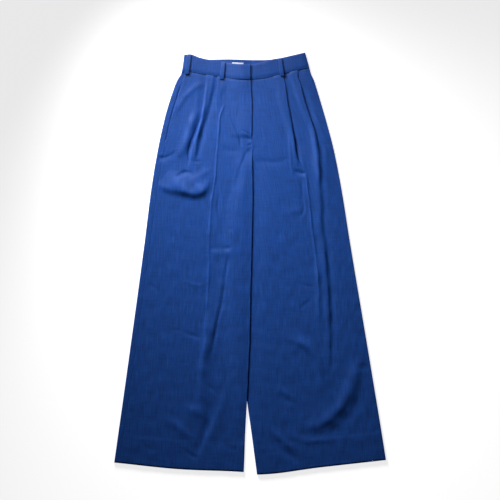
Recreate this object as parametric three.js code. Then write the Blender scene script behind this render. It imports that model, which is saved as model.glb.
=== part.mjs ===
// Double-pleated wide-leg trousers, laid flat with the front up, in millimetres.
// x runs to the wearer's left, y to the waist and z up, from the surface that the trousers lie on.
// "down" is the distance below the highest point of the waistband. "Right" and "left" are the wearer's.
import * as THREE from "three";

// Driving sizes
const length = 1115.7; // from the waistband's highest point to the lowest hem corner
const wall = 1.2; // cloth
const bandWall = 2.4; // waistband, two layers and its stiffening
const loopWall = 1.4; // belt loop
const labelWall = 0.7;
const gap = 0.3; // between pieces at a seam
const seamGap = 0.4; // the same at the inseam, whose edges turn
const floorLevel = wall / 2; // middle of a back panel on the surface
const frontLevel = 3.8; // middle of a front panel
const pressedLevel = 2.2; // middle of the left front where the right leg lies on it
const legLift = 3.2; // how far the right leg rises to lie over the left one
const bandBackLevel = bandWall / 2;
const bandFrontLevel = 4.9;
const bandLap = { lift: 2.9, from: -34, afterFrom: -27, to: -12, beforeEnd: -6, end: 1, underEnd: -10 };
const bandRows = { top: 10, foot: 55, pastTurn: 12 }; // where the search for a band's points starts
const flyLap = { lift: 1.5, from: -26, to: -9, foot: 236, faded: 252 };
const pocket = { top: 84, foot: 238, facing: 12, run: 12, lift: 1.5, edge: 13, ramp: 30 };
const pocketLip = { foot: 248, faded: 272 };
const loop = { width: 11, belowSeam: 5.5, belowTop: 1, bump: 1.7, flat: 9, ramp: 34, foot: 72, faded: 135 };
const label = { x1: -47.5, x2: -17.5, belowTop: 8, height: 23 };
const crotch = { down: 258, turned: 276 };
const legCross = { start: 262, full: 318, open: 938, end: 1000, margin: 9, ramp: 40, rest: 4 };
const pleatRamp = { flat: 3, run: 18 };
const deepest = 1.5; // how far a trough may sink below the front's level
const calmed = { outer: [4, 26], middle: [3, 24], waist: [4, 34], hem: [8, 52] }; // where the folds fade
const closedTurn = THREE.MathUtils.degToRad(178); // a pleat that turns more than this is shut
const leastAngle = 0.01;
const passes = 4; // for finding each point's own distance down

// Colours
const cloth = { color: 0x1d4890, roughness: 0.85, metalness: 0 };
const white = { color: 0xe9e9e6, roughness: 0.8, metalness: 0 };

// A table with named columns: each column becomes a smooth function of the first one.
function makeTable(columns, rows) {
  const at = rows.map((row) => row[0]);
  const read = {};
  columns.split(" ").slice(1).forEach((name, k) => {
    read[name] = smoothColumn(at, rows.map((row) => row[k + 1]));
  });
  return read;
}

function smoothColumn(at, value) {
  const step = at.slice(1).map((a, i) => (value[i + 1] - value[i]) / (a - at[i]));
  const slope = value.map((v, i) => {
    const before = step[Math.max(i - 1, 0)];
    const after = step[Math.min(i, step.length - 1)];
    return before * after <= 0 ? 0 : (2 * before * after) / (before + after);
  });
  return (place) => {
    const p = THREE.MathUtils.clamp(place, at[0], at[at.length - 1]);
    let i = 0;
    while (i < step.length - 1 && p > at[i + 1]) i += 1;
    const h = at[i + 1] - at[i];
    const t = (p - at[i]) / h;
    const a = value[i] * (1 + 2 * t) + slope[i] * h * t;
    const b = value[i + 1] * (3 - 2 * t) - slope[i + 1] * h * (1 - t);
    return a * (1 - t) * (1 - t) + b * t * t;
  };
}

const ease = (from, to, value) => THREE.MathUtils.smoothstep((value - from) / (to - from), 0, 1);
const mix = THREE.MathUtils.lerp;

// The outer folds, and how far in from them the side seams lie: on top at the right, underneath at the left.
const sides = makeTable("down right left seamRight seamLeft", [
  [0, -173.5, 145.5, 9, 24],
  [36, -178.1, 155.8, 10, 23],
  [57, -182.6, 161.4, 12, 22],
  [73, -192.7, 168.8, 15, 21],
  [99, -203, 177.3, 17, 20],
  [152, -220, 193.2, 17, 19],
  [179, -227.1, 201.1, 17, 19],
  [258, -244.3, 221.8, 17, 18],
  [364, -261.8, 242.5, 16, 17],
  [497, -278.5, 263.7, 15, 16],
  [815, -321.7, 316.9, 15, 15],
  [1077, -358.6, 359.6, 15, 14],
  [1084, -359.6, 360.6, 15, 14],
]);

// The edges at the middle: fly and crotch seam down to the crotch, then the inside of each leg.
const frontMiddle = makeTable("down right left", [
  [40, 1.5, -6.5],
  [90, 2.4, -5.3],
  [142, 4.9, -4.3],
  [216, 3.9, -5.4],
  [229, 5.4, 5.7],
  [258, 5.8, 6.3],
  [280, 6.6, 7.2],
  [320, 7.1, 8],
  [345, 7.5, 2],
  [380, 7.6, -12],
  [423, 7, -21],
  [523, 4.9, -30.7],
  [656, 1.6, -30.7],
  [735, 0.2, -28.5],
  [791, -1.7, -25.4],
  [860, -5, -16],
  [929, -8.2, -7.4],
  [963, -10.3, -2.6],
  [1014, -12.8, 4.5],
  [1065, -14.5, 11.3],
  [1116, -16.5, 18],
]);
const backMiddle = makeTable("down right left", [
  [45, -32.1, -31.8],
  [100, -28, -27.7],
  [170, -14, -13.7],
  [230, 0.6, 0.9],
  [250, 5.5, 5.8],
  [258, 5.8, 6.3],
]);

// The waist, along x: top edges of the front and back bands, and their seams to the panels.
const waist = makeTable("x frontTop backTop frontSeam backSeam", [
  [-190, 7.5, 7.5, 54, 54],
  [-172, 6.2, 6.2, 52.6, 52.6],
  [-160, 5, 5.4, 51.8, 51.8],
  [-131, 14.4, 14, 56.4, 55],
  [-105, 19.6, 18.8, 60.4, 58.5],
  [-80, 21.2, 18.4, 64.4, 60],
  [-65, 26.3, 18, 67, 60.4],
  [-32, 31, 18.8, 70.8, 60.8],
  [4, 31.8, 20, 71, 61],
  [33, 25.2, 19.9, 68.6, 60.4],
  [59, 18.6, 18.4, 63, 58.8],
  [83, 14.6, 15.2, 57.7, 55],
  [107, 9.3, 9.8, 51.5, 50.5],
  [134, 3.2, 3.6, 44.7, 44.7],
  [147, 0, 0, 42, 42],
  [165, -3, -3, 38.6, 38.6],
]);
const hems = makeTable("x down", [
  [-360, 1083.9],
  [-174, 1102.4],
  [-18, 1109],
  [18, 1115.7],
  [187, 1096.6],
  [360, 1077.2],
]);

// The pleats' folds, first and second from the middle, and how each opens on its way down.
const pleatLines = makeTable("down firstRight secondRight firstLeft secondLeft", [
  [65, -86, -116, 88, 126.5],
  [85, -86.5, -117.5, 93.3, 133.3],
  [126, -90, -123, 98.5, 144],
  [170, -88.2, -129.5, 107.2, 158.5],
  [208, -86, -140, 114.2, 171],
  [242, -88.2, -149.5, 119.6, 179],
  [271, -91.2, -155, 124.8, 182.5],
  [295, -93.5, -162, 133.4, 183.5],
  [330, -96.5, -170, 145, 184.7],
  [380, -101, -178, 154.8, 185.5],
  [450, -105.7, -186, 162.4, 188.7],
  [560, -108.7, -195, 176, 201],
  [620, -110.5, -200.5, 180.5, 206],
  [700, -120, -207, 183, 209.6],
  [833, -131.4, -216, 186.6, 211.7],
  [1110, -137, -238, 192, 215.7],
]);
const pleatShape = makeTable("down tuck turn drop", [
  [40, 15, 180, 3.2],
  [126, 9, 180, 3.2],
  [170, 5, 180, 3.2],
  [215, 1, 180, 3.2],
  [246, 0.8, 100, 3.2],
  [270, 0.8, 55, 2.6],
  [320, 0.8, 20, 0.9],
  [380, 0.8, 8, 0.2],
  [460, 0.8, 5, 0.11],
]);

// The largest folds of the fronts: a ridge or trough from one point to another, bowed to one side.
const foldColumns = "x1 down1 x2 down2 bow width height".split(" ");
const folds = [
  [-142, 78, -174, 112, 0, 8, 1.5],
  [-138, 104, -191, 168, 4, 9, -1.4],
  [-151, 179, -226, 290, 6, 13, 2.6],
  [-1, 262, -38, 372, 8, 9, -1.2],
  [-182, 358, -104, 316, -4, 12, 2.2],
  [-234, 350, -110, 344, 46, 9, -1.4],
  [-240, 272, -206, 274, 0, 9, -1.2],
  [-63, 140, -100, 366, 8, 9, 1.3],
  [-100, 350, -134, 930, -4, 9, 1.3],
  [-61, 547, -106, 800, -4, 11, -1.4],
  [-44, 846, -108, 1024, -6, 11, 2],
  [-108, 944, -140, 1052, 2, 11, -1.4],
  [-222, 968, -150, 1022, -6, 17, 2],
  [114, 190, 150, 392, -3, 9, 1.3],
  [150, 380, 183, 726, -5, 9, 1.3],
  [184, 290, 211, 856, -4, 11, -1.3],
  [104, 748, 194, 832, -18, 11, 2.2],
  [134, 772, 214, 928, -14, 11, -1.5],
  [282, 806, 232, 936, -3, 14, 3.6],
  [252, 900, 132, 986, -16, 14, 3.2],
  [306, 828, 262, 940, -3, 12, -1.5],
  [276, 920, 190, 1004, -8, 12, -1.5],
  [46, 972, 114, 1042, 6, 10, 2],
  [104, 1018, 274, 1008, 6, 12, 2.6],
  [52, 1012, 130, 1074, 8, 9, -1.3],
  [134, 1036, 208, 1034, 2, 9, -1.3],
].map((row) => Object.fromEntries(foldColumns.map((name, i) => [name, row[i]])));

function foldHeight(fold, x, down) {
  const dx = fold.x2 - fold.x1;
  const dd = fold.down2 - fold.down1;
  const span = Math.hypot(dx, dd);
  const t = ((x - fold.x1) * dx + (down - fold.down1) * dd) / (span * span);
  if (t <= 0 || t >= 1) return 0;
  const off = ((down - fold.down1) * dx - (x - fold.x1) * dd) / span;
  const away = (off - fold.bow * 4 * t * (1 - t) * Math.sign(dx)) / fold.width;
  return fold.height * Math.sin(Math.PI * t) * Math.exp(-away * away);
}

// Rows of the panels, by their nominal down. The first follows the waist seam, the last the hem.
const levels = [
  62, 80, 104, 130, 156, 182, 208, 230, 246, 258, 267, 276, 296, 322, 360, 420, 490,
  560, 630, 700, 765, 820, 870, 912, 955, 1000, 1040, 1075, 1100,
];
const firstLevel = levels[0];
const lastLevel = levels[levels.length - 1];
const seamFade = 150;
const hemFade = 1000;

const right = {
  sign: -1,
  outer: sides.right,
  seamIn: sides.seamRight,
  front: frontMiddle.right,
  back: (down) => (down < crotch.down ? backMiddle.right(down) : frontMiddle.right(down)),
  pleats: [pleatLines.firstRight, pleatLines.secondRight],
};
const left = {
  sign: 1,
  outer: sides.left,
  seamIn: sides.seamLeft,
  front: frontMiddle.left,
  back: (down) => (down < crotch.down ? backMiddle.left(down) : frontMiddle.left(down)),
  pleats: [pleatLines.firstLeft, pleatLines.secondLeft],
};

// The main folds, calmed near seams, edges and hem so that those stay flat.
function relief(side, x, down) {
  const calm =
    ease(...calmed.outer, Math.abs(side.outer(down) - x)) *
    ease(...calmed.middle, Math.abs(side.front(down) - x)) *
    ease(...calmed.waist, down - waist.frontSeam(x)) *
    ease(...calmed.hem, hems.down(x) - down);
  const sum = folds.reduce((total, fold) => total + foldHeight(fold, x, down), 0);
  return calm * Math.max(sum, -deepest);
}

// Lift of everything above the two belt loops that lie underneath.
const underLoops = {
  back: () => (label.x1 + label.x2) / 2,
  sideLeft: (down) => sides.left(down) - sides.seamLeft(down),
};
function restLift(x, down) {
  const bump = (centre) => 1 - ease(loop.flat, loop.flat + loop.ramp, Math.abs(x - centre));
  const most = Math.max(bump(underLoops.back(down)), bump(underLoops.sideLeft(down)));
  return loop.bump * most * (1 - ease(loop.foot, loop.faded, down));
}

// Where the legs cross: 0 above the crotch and below the gap's point, 1 between.
const crossing = (down) =>
  ease(legCross.start, legCross.full, down) * (1 - ease(legCross.open, legCross.end, down));

function legOver(side, x, down) {
  if (side !== right) return 0;
  const edge = frontMiddle.left(down) - legCross.margin;
  return legLift * crossing(down) * ease(edge - legCross.ramp, edge, x);
}

function frontHeight(side, x, down) {
  if (side === right) return frontLevel;
  const edge = frontMiddle.right(down) + legCross.rest;
  const pressed = crossing(down) * (1 - ease(edge, edge + legCross.ramp, x));
  return mix(frontLevel, pressedLevel, pressed);
}

// The inner edge of a panel: flat above the crotch, turned through a quarter circle below it.
// "up" is -1 for a front, which turns down, and 1 for a back.
function innerEdge(side, edge, level, up, down) {
  const radius = (frontHeight(side, edge, down) - floorLevel) / 2;
  const arc = (radius * Math.PI) / 2;
  const share = THREE.MathUtils.clamp((down - crotch.down) / (crotch.turned - crotch.down), 0, 1);
  const angle = Math.max((share * Math.PI) / 2, leastAngle);
  const start = edge + side.sign * mix(arc, radius + wall / 2, share);
  const cut = 1 - (share * seamGap) / (2 * arc);
  const points = [1, 0.5].map((s) => ({
    x: start - (side.sign * arc * Math.sin(angle * s * cut)) / angle,
    z: level + (up * arc * (1 - Math.cos(angle * s * cut))) / angle,
  }));
  return { start, points };
}

// A pleat in section: over the fold, back under it by the tuck, and out again below.
function pleat(side, fold, down) {
  const turn = THREE.MathUtils.degToRad(pleatShape.turn(down));
  const tuck = pleatShape.tuck(down);
  const drop = pleatShape.drop(down);
  const radius = (drop - tuck * Math.sin(turn)) / (2 * (1 - Math.cos(turn)));
  const r = turn >= closedTurn ? drop / 4 : radius;
  const start = fold(down) - side.sign * r * Math.sin(Math.min(turn, Math.PI / 2));
  const half = [0, 1, 2, 3].map((i) => {
    const a = (turn * i) / 3;
    return { along: r * Math.sin(a), z: drop / 2 - r * (1 - Math.cos(a)) };
  });
  const middle = half[3].along + (tuck / 2) * Math.cos(turn);
  const other = half.map((p) => ({ along: 2 * middle - p.along, z: -p.z })).reverse();
  const points = [...half, ...other].map((p) => ({ x: start + side.sign * p.along, step: p.z }));
  return { tuck, drop, points, start, end: points[points.length - 1].x };
}

const runShares = [0, 0.06, 0.17, 0.33, 0.52, 0.75];
const backShares = [0, 0.05, 0.1, 0.19, 0.34, 0.52, 0.7, 0.86, 1];
const sideShares = [0.18, 0.36, 0.56, 0.78, 1];

// Section of a front from the middle to the side seam, at one distance down.
function frontSection(side, down) {
  const out = side.sign;
  const level = (x) => frontHeight(side, x, down);
  const edgeX = side.front(down);
  const inner = innerEdge(side, edgeX, level(edgeX), -1, down);
  const [first, second] = side.pleats.map((line) => pleat(side, line, down));
  const points = [...inner.points];
  const soft = (x, step = 0) => points.push({ x, z: level(x) + step, soft: 1 });
  const reach = (p) => p.tuck + pleatRamp.flat;
  const rampStart = first.start - out * (reach(first) + pleatRamp.run);
  runShares.forEach((share) => soft(mix(inner.start, rampStart, share)));
  soft(rampStart);
  soft(first.start - out * (reach(first) + pleatRamp.run / 2), first.drop / 4);
  soft(first.start - out * reach(first), first.drop / 2);
  first.points.forEach((p) => soft(p.x, p.step));
  const low = first.end + out * reach(first);
  const high = second.start - out * reach(second);
  soft(low, -first.drop / 2);
  soft((low + high) / 2, (second.drop - first.drop) / 4);
  soft(high, second.drop / 2);
  second.points.forEach((p) => soft(p.x, p.step));
  const from = second.end + out * reach(second);
  soft(from, -second.drop / 2);
  soft(from + (out * pleatRamp.run) / 2, -second.drop / 4);
  soft(from + out * pleatRamp.run);
  const begin = from + out * pleatRamp.run;
  const bend = (frontLevel - floorLevel) / 2;
  const finish =
    side === right
      ? side.outer(down) - out * (side.seamIn(down) + gap / 2)
      : side.outer(down) - out * (bend + wall / 2);
  sideShares.forEach((share) => soft(mix(begin, finish, share)));
  if (side === left) {
    outerFold(finish, out, bend).forEach((p) => points.push(p));
    points.push({ x: side.outer(down) - out * side.seamIn(down), z: floorLevel });
  }
  return points.map((p) => ({ ...p, z: p.z + laps(side, p.x, down) }));
}

// The right front laps over the left one at the fly, and its pocket edge over the facing.
function laps(side, x, down) {
  if (side !== right) return 0;
  const fly = flyLap.lift * ease(flyLap.from, flyLap.to, x) * (1 - ease(flyLap.foot, flyLap.faded, down));
  const seam = side.outer(down) + side.seamIn(down);
  const lip = pocket.lift * (1 - ease(pocket.edge, pocket.ramp, Math.abs(x - seam)));
  return fly + lip * (1 - ease(pocketLip.foot, pocketLip.faded, down));
}

// Half a turn from the front's level down to the floor's, past the point x.
function outerFold(x, out, radius, top = frontLevel) {
  return [1, 2, 3, 4].map((i) => {
    const a = (Math.PI * i) / 4;
    return { x: x + out * radius * Math.sin(a), z: top - radius * (1 - Math.cos(a)) };
  });
}

// Section of a back from the middle to the side seam. The right one comes round to the top.
function backSection(side, down) {
  const out = side.sign;
  const inner = innerEdge(side, side.back(down), floorLevel, 1, down);
  const points = [...inner.points];
  const bend = (frontLevel - floorLevel) / 2;
  const outer = side.outer(down);
  const finish =
    side === right ? outer - out * (bend + wall / 2) : outer - out * (side.seamIn(down) + gap);
  backShares.forEach((share) => points.push({ x: mix(inner.start, finish, share), z: floorLevel }));
  if (side === left) return points;
  const turned = outerFold(finish, out, bend).slice(0, 3).reverse();
  points.push(...turned, { x: finish, z: frontLevel });
  const opened = ease(pocket.top, pocket.top + pocket.run, down);
  const facing = opened * (1 - ease(pocket.foot - pocket.run, pocket.foot, down));
  const seam = outer - out * (side.seamIn(down) - gap / 2);
  [0.5, 1].forEach((share) =>
    points.push({ x: mix(finish, seam - out * pocket.facing * facing, share), z: frontLevel, soft: 1 }),
  );
  return points;
}

// Moves a panel's nominal row to the waist seam at the top and to the hem at the foot.
function rowDown(nominal, x, seam) {
  const top = (seam(x) + gap - firstLevel) * (1 - ease(firstLevel, seamFade, nominal));
  const foot = (hems.down(x) - lastLevel) * ease(hemFade, lastLevel, nominal);
  return nominal + top + foot;
}

// Every point of a section is found at its own distance down, in a few passes.
function settle(section, downAt, start) {
  const count = section(start).length;
  return Array.from({ length: count }, (unused, j) => {
    let down = start;
    for (let pass = 0; pass < passes; pass += 1) down = downAt(section(down)[j].x);
    return { ...section(down)[j], down };
  });
}

const place = (x, down, z) => new THREE.Vector3(x, length / 2 - down, z);

function panel(side, section, seam) {
  return levels.map((nominal) => {
    const points = settle((down) => section(side, down), (x) => rowDown(nominal, x, seam), nominal);
    return points.map((p) => {
      const soft = p.soft ? relief(side, p.x, p.down) : 0;
      return place(p.x, p.down, p.z + soft + restLift(p.x, p.down) + legOver(side, p.x, p.down));
    });
  });
}

// Sections of the three bands. They run flat, and two of them turn round an outer fold.
const bandBend = (bandFrontLevel - bandBackLevel) / 2;
const bandRun = (x1, x2, count, height) =>
  Array.from({ length: count + 1 }, (unused, i) => {
    const x = mix(x1, x2, i / count);
    return { x, z: height(x) };
  });

function bandFrontRight(down) {
  const seam = sides.right(down) + sides.seamRight(down) + gap / 2;
  const height = (x) => bandFrontLevel + bandLap.lift * ease(bandLap.from, bandLap.to, x);
  return [
    ...bandRun(seam, bandLap.from, 13, height),
    ...bandRun(bandLap.afterFrom, bandLap.to, 2, height),
    ...bandRun(bandLap.beforeEnd, bandLap.end, 1, height),
  ];
}

function bandFrontLeft(down) {
  const turn = sides.left(down) - bandBend - bandWall / 2;
  const end = sides.left(down) - sides.seamLeft(down);
  return [
    ...bandRun(bandLap.underEnd, turn, 14, () => bandFrontLevel),
    ...outerFold(turn, 1, bandBend, bandFrontLevel),
    { x: end, z: bandBackLevel },
  ];
}

function bandBack(down) {
  const turn = sides.right(down) + bandBend + bandWall / 2;
  const seam = sides.right(down) + sides.seamRight(down) - gap / 2;
  const end = sides.left(down) - sides.seamLeft(down) - gap;
  return [
    { x: seam, z: bandFrontLevel },
    { x: turn, z: bandFrontLevel },
    ...outerFold(turn, -1, bandBend, bandFrontLevel),
    ...bandRun(turn + bandRows.pastTurn, end, 24, () => bandBackLevel),
  ];
}

function band(section, top, seam) {
  return [0, 0.5, 1].map((share) => {
    const downAt = (x) => mix(top(x), seam(x), share);
    return settle(section, downAt, mix(bandRows.top, bandRows.foot, share)).map((p) =>
      place(p.x, p.down, p.z + restLift(p.x, p.down)),
    );
  });
}

// A belt loop: a flat strip from the band's top to just below its seam, on top or underneath.
const loopShares = [0, 0.33, 0.66, 1];
function beltLoop(topX, footX, top, seam, z) {
  return loopShares.map((share) => {
    const x = mix(topX, footX, share);
    const down = mix(top(x) + loop.belowTop, seam(x) + loop.belowSeam, share);
    return [-loop.width / 2, loop.width / 2].map((off) => place(x + off, down, z(x, down)));
  });
}
const loopOnTop = bandFrontLevel + bandWall / 2 + gap + loopWall / 2;
const onTop = (topX, footX) =>
  beltLoop(topX, footX, waist.frontTop, waist.frontSeam, (x, down) => loopOnTop + restLift(x, down));
const underneath = (topX, footX) =>
  beltLoop(topX, footX, waist.backTop, waist.backSeam, () => loopWall / 2);

function labelRows() {
  const level = bandWall + gap + labelWall / 2;
  return [0, 1].map((share) =>
    [0, 0.25, 0.5, 0.75, 1].map((across) => {
      const x = mix(label.x1, label.x2, across);
      const down = waist.backTop(x) + label.belowTop + label.height * share;
      return place(x, down, level + restLift(x, down));
    }),
  );
}

// The direction of a line of points at one of them. Past its ends the line goes on with the same bend.
function direction(point, i, count) {
  const beyond = (a, b, c) => a.clone().multiplyScalar(3).addScaledVector(b, -3).add(c);
  const straight = (a, b) => a.clone().multiplyScalar(2).sub(b);
  const past = (a, b, c) => (count > 2 ? beyond(point(a), point(b), point(c)) : straight(point(a), point(b)));
  const before = i > 0 ? point(i - 1) : past(0, 1, 2);
  const after = i < count - 1 ? point(i + 1) : past(count - 1, count - 2, count - 3);
  return after.clone().sub(before);
}

// A closed wall of even thickness about a grid of points.
function wallAbout(rows, thickness) {
  const height = rows.length;
  const width = rows[0].length;
  const corners = [];
  for (const side of [0.5, -0.5]) {
    for (let i = 0; i < height; i += 1) {
      for (let j = 0; j < width; j += 1) {
        const across = direction((k) => rows[i][k], j, width);
        const along = direction((k) => rows[k][j], i, height);
        const normal = across.cross(along).normalize();
        corners.push(rows[i][j].clone().addScaledVector(normal, side * thickness));
      }
    }
  }
  const geometry = new THREE.BufferGeometry().setFromPoints(corners);
  geometry.setIndex(wallFaces(height, width));
  return facingOut(geometry);
}

function wallFaces(height, width) {
  const faces = [];
  const second = height * width;
  const quad = (a, b, c, d) => faces.push(a, b, c, a, c, d);
  for (let i = 0; i + 1 < height; i += 1) {
    for (let j = 0; j + 1 < width; j += 1) {
      const a = i * width + j;
      quad(a, a + 1, a + width + 1, a + width);
      quad(second + a + width, second + a + width + 1, second + a + 1, second + a);
    }
  }
  const rim = [];
  for (let j = 0; j + 1 < width; j += 1) rim.push(j);
  for (let i = 0; i + 1 < height; i += 1) rim.push(i * width + width - 1);
  for (let j = width - 1; j > 0; j -= 1) rim.push((height - 1) * width + j);
  for (let i = height - 1; i > 0; i -= 1) rim.push(i * width);
  rim.forEach((a, k) => {
    const b = rim[(k + 1) % rim.length];
    quad(b, a, second + a, second + b);
  });
  return faces;
}

function facingOut(geometry) {
  const index = geometry.getIndex().array;
  const spot = geometry.getAttribute("position");
  const corner = (k) => new THREE.Vector3().fromBufferAttribute(spot, index[k]);
  let volume = 0;
  for (let k = 0; k < index.length; k += 3) {
    volume += corner(k).dot(corner(k + 1).cross(corner(k + 2)));
  }
  if (volume < 0) {
    for (let k = 0; k < index.length; k += 3) {
      [index[k + 1], index[k + 2]] = [index[k + 2], index[k + 1]];
    }
  }
  geometry.computeVertexNormals();
  return geometry;
}

const trousers = new THREE.Group();
function add(name, rows, thickness, finish = cloth) {
  const mesh = new THREE.Mesh(wallAbout(rows, thickness), new THREE.MeshStandardMaterial(finish));
  mesh.name = name;
  trousers.add(mesh);
}

add("front_right", panel(right, frontSection, waist.frontSeam), wall);
add("front_left", panel(left, frontSection, waist.frontSeam), wall);
add("back_right", panel(right, backSection, waist.backSeam), wall);
add("back_left", panel(left, backSection, waist.backSeam), wall);
add("waistband_front_right", band(bandFrontRight, waist.frontTop, waist.frontSeam), bandWall);
add("waistband_front_left", band(bandFrontLeft, waist.frontTop, waist.frontSeam), bandWall);
add("waistband_back", band(bandBack, waist.backTop, waist.backSeam), bandWall);
add("belt_loop_side_right", onTop(-160.5, -167), loopWall);
add("belt_loop_front_right", onTop(-70, -75), loopWall);
add("belt_loop_front_left", onTop(79, 85), loopWall);
add("belt_loop_side_left", underneath(124, 137), loopWall);
add("belt_loop_back", underneath(-32.5, -31), loopWall);
add("label_back", labelRows(), labelWall, white);

export default trousers;
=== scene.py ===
import math
import bmesh
import bpy
import numpy as np
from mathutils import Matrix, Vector


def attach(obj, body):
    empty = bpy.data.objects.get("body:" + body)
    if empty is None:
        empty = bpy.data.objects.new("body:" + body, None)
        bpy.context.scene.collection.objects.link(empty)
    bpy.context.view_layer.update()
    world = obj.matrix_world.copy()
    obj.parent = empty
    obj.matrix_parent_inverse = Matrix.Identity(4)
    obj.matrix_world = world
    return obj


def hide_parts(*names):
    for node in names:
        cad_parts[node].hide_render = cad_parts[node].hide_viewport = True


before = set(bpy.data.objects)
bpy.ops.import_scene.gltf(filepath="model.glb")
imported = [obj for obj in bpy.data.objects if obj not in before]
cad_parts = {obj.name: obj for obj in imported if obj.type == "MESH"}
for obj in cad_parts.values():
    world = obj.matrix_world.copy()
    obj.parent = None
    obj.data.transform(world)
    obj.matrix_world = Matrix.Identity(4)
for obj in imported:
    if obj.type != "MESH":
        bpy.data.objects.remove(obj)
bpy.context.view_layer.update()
print("frame loaded")

# Double-pleated wide-leg trousers, laid flat with the front up and seen from straight above.
# Tables and dictionaries are in millimetres. x runs to the wearer's left, z up from the floor,
# and "down" is the distance below the highest point of the waistband.
toMetres = 0.001

body = {
    "length": 1115.7,
    "wall": 1.2,  # the CAD wall, whose middle the cloth follows
    "cloth": 0.8,  # what the cloth is thick here
    "gap": 0.3,
    "inseamGap": 0.4,
    "backLevel": 0.6,
    "frontLevel": 3.8,
    "pressedLevel": 2.2,
    "lowestFront": 1.5,
    "underBand": 0.8,
}
outerBend = (body["frontLevel"] - body["backLevel"]) / 2  # radius of the turn at an outer fold
outerInset = outerBend + body["wall"] / 2
legCross = {
    "lift": 2.9, "start": 256, "full": 300, "open": 938, "end": 1000, "margin": 9, "ramp": 40, "rest": 4,
    "edgeLevel": 2.6, "edgeRun": 30,
}
crotch = {"down": 258, "turned": 276}
crotchSeam = {"start": 226, "full": 240, "fading": 258, "end": 270}
fly = {"lift": 2.4, "start": -66, "full": -9, "foot": 214, "faded": 229}
pocket = {
    "top": 84, "foot": 238, "facing": 12, "facingRun": 12, "seamRun": 20,
    "sunk": 2.2, "width": 3, "lipIn": 0.5, "topRun": 14, "footRun": 10,
    "lift": 0.2, "edge": 13, "ramp": 30, "lipFoot": 248, "faded": 272,
}
seamLook = {"depth": 0.55, "width": 2.4, "side": 0.25}
hemTurn = {"height": 76, "step": 0.4, "run": 2.5, "edgeDepth": 0.3, "edgeScale": 1.2}
pucker = {
    "waves": 9, "short": 24, "long": 62, "lengthStep": 0.618, "turn": 0.4, "turnStep": 2.4,
    "bend": 1.3, "bendLength": 0.9, "height": 0.17, "atWaist": 0.25, "start": 200, "full": 620,
}
calmed = {"outer": (1, 9), "middle": (0, 6), "waist": (0, 14), "hem": (3, 22)}  # where the fronts' folds fade
backCalmed = {"outer": (6, 40), "middle": (8, 40)}


def ease(low, high, value):
    t = np.clip((value - low) / (high - low), 0, 1)
    return t * t * (3 - 2 * t)


def mix(a, b, t):
    return a + (b - a) * t


def smoothColumn(at, value):
    step = np.diff(value) / np.diff(at)
    before, after = np.append(step[0], step), np.append(step, step[-1])
    together = before * after > 0
    slope = np.where(together, 2 * before * after / np.where(together, before + after, 1), 0)

    def read(place):
        p = np.clip(place, at[0], at[-1])
        i = np.clip(np.searchsorted(at, p, side="right") - 1, 0, len(step) - 1)
        h = at[i + 1] - at[i]
        t = (p - at[i]) / h
        low = (value[i] * (1 + 2 * t) + slope[i] * h * t) * (1 - t) ** 2
        return low + (value[i + 1] * (3 - 2 * t) - slope[i + 1] * h * (1 - t)) * t * t

    return read


# A table with named columns: each one becomes a smooth function of the first.
def makeTable(names, rows):
    values = np.array(rows, float).T
    return {name: smoothColumn(values[0], values[k + 1]) for k, name in enumerate(names.split()[1:])}


# The outer folds, and how far in from them the side seams lie: on top at the right, underneath at the left.
sides = makeTable("down right left seamRight seamLeft", [
    [0, -173.5, 145.5, 9, 24],
    [36, -178.1, 155.8, 10, 23],
    [57, -182.6, 161.4, 12, 22],
    [73, -192.7, 168.8, 15, 21],
    [99, -203, 177.3, 17, 20],
    [152, -220, 193.2, 17, 19],
    [179, -227.1, 201.1, 17, 19],
    [258, -244.3, 221.8, 17, 18],
    [364, -261.8, 242.5, 16, 17],
    [497, -278.5, 263.7, 15, 16],
    [815, -321.7, 316.9, 15, 15],
    [1077, -358.6, 359.6, 15, 14],
    [1084, -359.6, 360.6, 15, 14],
])
# The edges at the middle: fly and crotch seam down to the crotch, then the inside of each leg.
frontMiddle = makeTable("down right left", [
    [40, 1.5, -6.5],
    [90, 2.4, -5.3],
    [142, 4.9, -4.3],
    [216, 3.9, -5.4],
    [229, 5.4, 5.4],
    [254, 5.7, 5.7],
    [270, 6.2, 2.7],
    [290, 6.8, 0.7],
    [320, 7.1, -1],
    [345, 7.5, -4],
    [380, 7.6, -12],
    [423, 7, -21],
    [523, 4.9, -30.7],
    [656, 1.6, -30.7],
    [735, 0.2, -28.5],
    [791, -1.7, -25.4],
    [860, -5, -16],
    [929, -8.2, -7.4],
    [963, -10.3, -2.6],
    [1014, -12.8, 4.5],
    [1065, -14.5, 11.3],
    [1116, -16.5, 18],
])
# Where the two backs meet: the seat seam.
seatSeam = makeTable("down middle", [
    [45, -32],
    [100, -27.9],
    [170, -13.9],
    [230, 0.7],
    [250, 5.6],
    [258, 5.8],
])["middle"]
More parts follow.
